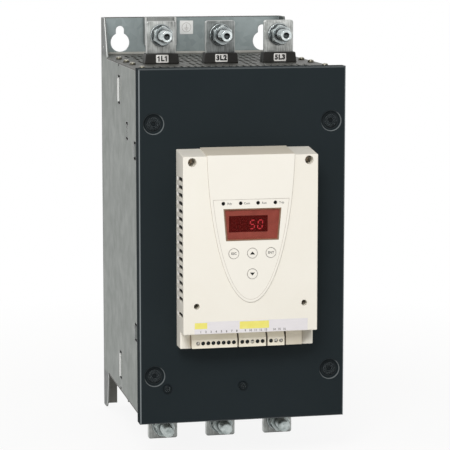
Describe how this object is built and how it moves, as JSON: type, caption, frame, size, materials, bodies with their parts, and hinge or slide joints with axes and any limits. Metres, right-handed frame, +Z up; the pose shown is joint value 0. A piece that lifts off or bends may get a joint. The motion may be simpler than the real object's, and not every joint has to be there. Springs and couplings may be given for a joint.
{
  "type": "soft starter",
  "caption": "Wall-mounted soft starter: zinc box with dark cover, bolt-on bars above and below, and an ivory control unit with display, press keys and terminals.",
  "frame": {"origin": "middle of the back plate's rear face, on the wall plane", "axes": "+X to the right, +Y towards the wall, +Z up; the front faces -Y"},
  "size_m": [0.206, 0.2992, 0.4315],
  "materials": {
    "zinc_sheet": "galvanised",
    "grille_sheet": "galvanised",
    "cover_paint": "satin textured",
    "black_screw": "satin",
    "tinned_bar": "brushed tin",
    "plated_steel": "zinc plated",
    "black_plastic": "matt",
    "ivory_plastic": "fine texture",
    "key_plastic": "smooth",
    "red_window": "tinted",
    "display_red": "dark",
    "aluminium_sink": "extruded",
    "module_plastic": "moulded",
    "contactor_plastic": "moulded",
    "board_green": "coated",
    "terminal_plastic": "moulded"
  },
  "bodies": {
    "starter": {"chassis": "zinc_sheet", "top_grille": "grille_sheet", "bottom_grille": "grille_sheet", "grille_screws": "plated_steel", "front_cover": "cover_paint", "cover_screws": "black_screw", "front_rail_left": "zinc_sheet", "front_rail_right": "zinc_sheet", "power_plate": "zinc_sheet", "heatsink": "aluminium_sink", "heatsink_columns": "plated_steel", "thyristor_1": "module_plastic", "thyristor_2": "module_plastic", "thyristor_3": "module_plastic", "line_bar_1": "tinned_bar", "line_bar_2": "tinned_bar", "line_bar_3": "tinned_bar", "load_bar_1": "tinned_bar", "load_bar_2": "tinned_bar", "load_bar_3": "tinned_bar", "bypass_1": "contactor_plastic", "bypass_2": "contactor_plastic", "bypass_3": "contactor_plastic", "current_sensor_1": "black_plastic", "current_sensor_2": "black_plastic", "current_sensor_3": "black_plastic", "power_board": "board_green", "bar_bolts": "plated_steel", "bar_nuts": "plated_steel", "bar_washers": "plated_steel", "line_insulator_1": "black_plastic", "line_insulator_2": "black_plastic", "line_insulator_3": "black_plastic", "load_insulator_1": "black_plastic", "load_insulator_2": "black_plastic", "load_insulator_3": "black_plastic", "earth_bracket": "tinned_bar", "earth_bolt": "plated_steel", "unit_base": "ivory_plastic", "unit_lid": "ivory_plastic", "keypad_panel": "ivory_plastic", "display_window": "red_window", "display_module": "display_red", "status_lights": "black_plastic", "control_board": "board_green", "display_board": "board_green", "key_switches": "black_plastic", "unit_screws": "plated_steel", "terminal_block_8": "terminal_plastic", "terminal_block_5": "terminal_plastic", "terminal_block_3": "terminal_plastic", "data_socket": "terminal_plastic", "fan_frame_left": "black_plastic", "fan_frame_right": "black_plastic"},
    "esc_key": {"key_esc": "key_plastic"},
    "up_key": {"key_up": "key_plastic"},
    "enter_key": {"key_enter": "key_plastic"},
    "down_key": {"key_down": "key_plastic"},
    "left_rotor": {"fan_rotor_left": "module_plastic"},
    "right_rotor": {"fan_rotor_right": "module_plastic"}
  },
  "joints": [
    {"name": "key_esc_press", "type": "slide", "parent": "starter", "child": "esc_key", "axis": [0, 1, 0], "range_m": [0, 0.0005], "stiffness_N_per_m": 3000},
    {"name": "key_up_press", "type": "slide", "parent": "starter", "child": "up_key", "axis": [0, 1, 0], "range_m": [0, 0.0005], "stiffness_N_per_m": 3000},
    {"name": "key_enter_press", "type": "slide", "parent": "starter", "child": "enter_key", "axis": [0, 1, 0], "range_m": [0, 0.0005], "stiffness_N_per_m": 3000},
    {"name": "key_down_press", "type": "slide", "parent": "starter", "child": "down_key", "axis": [0, 1, 0], "range_m": [0, 0.0005], "stiffness_N_per_m": 3000},
    {"name": "left_fan_spin", "type": "hinge", "parent": "starter", "child": "left_rotor", "pos_m": [-0.0411, -0.05475, -0.158], "axis": [0, 0, 1], "continuous": true},
    {"name": "right_fan_spin", "type": "hinge", "parent": "starter", "child": "right_rotor", "pos_m": [0.0411, -0.05475, -0.158], "axis": [0, 0, 1], "continuous": true}
  ]
}
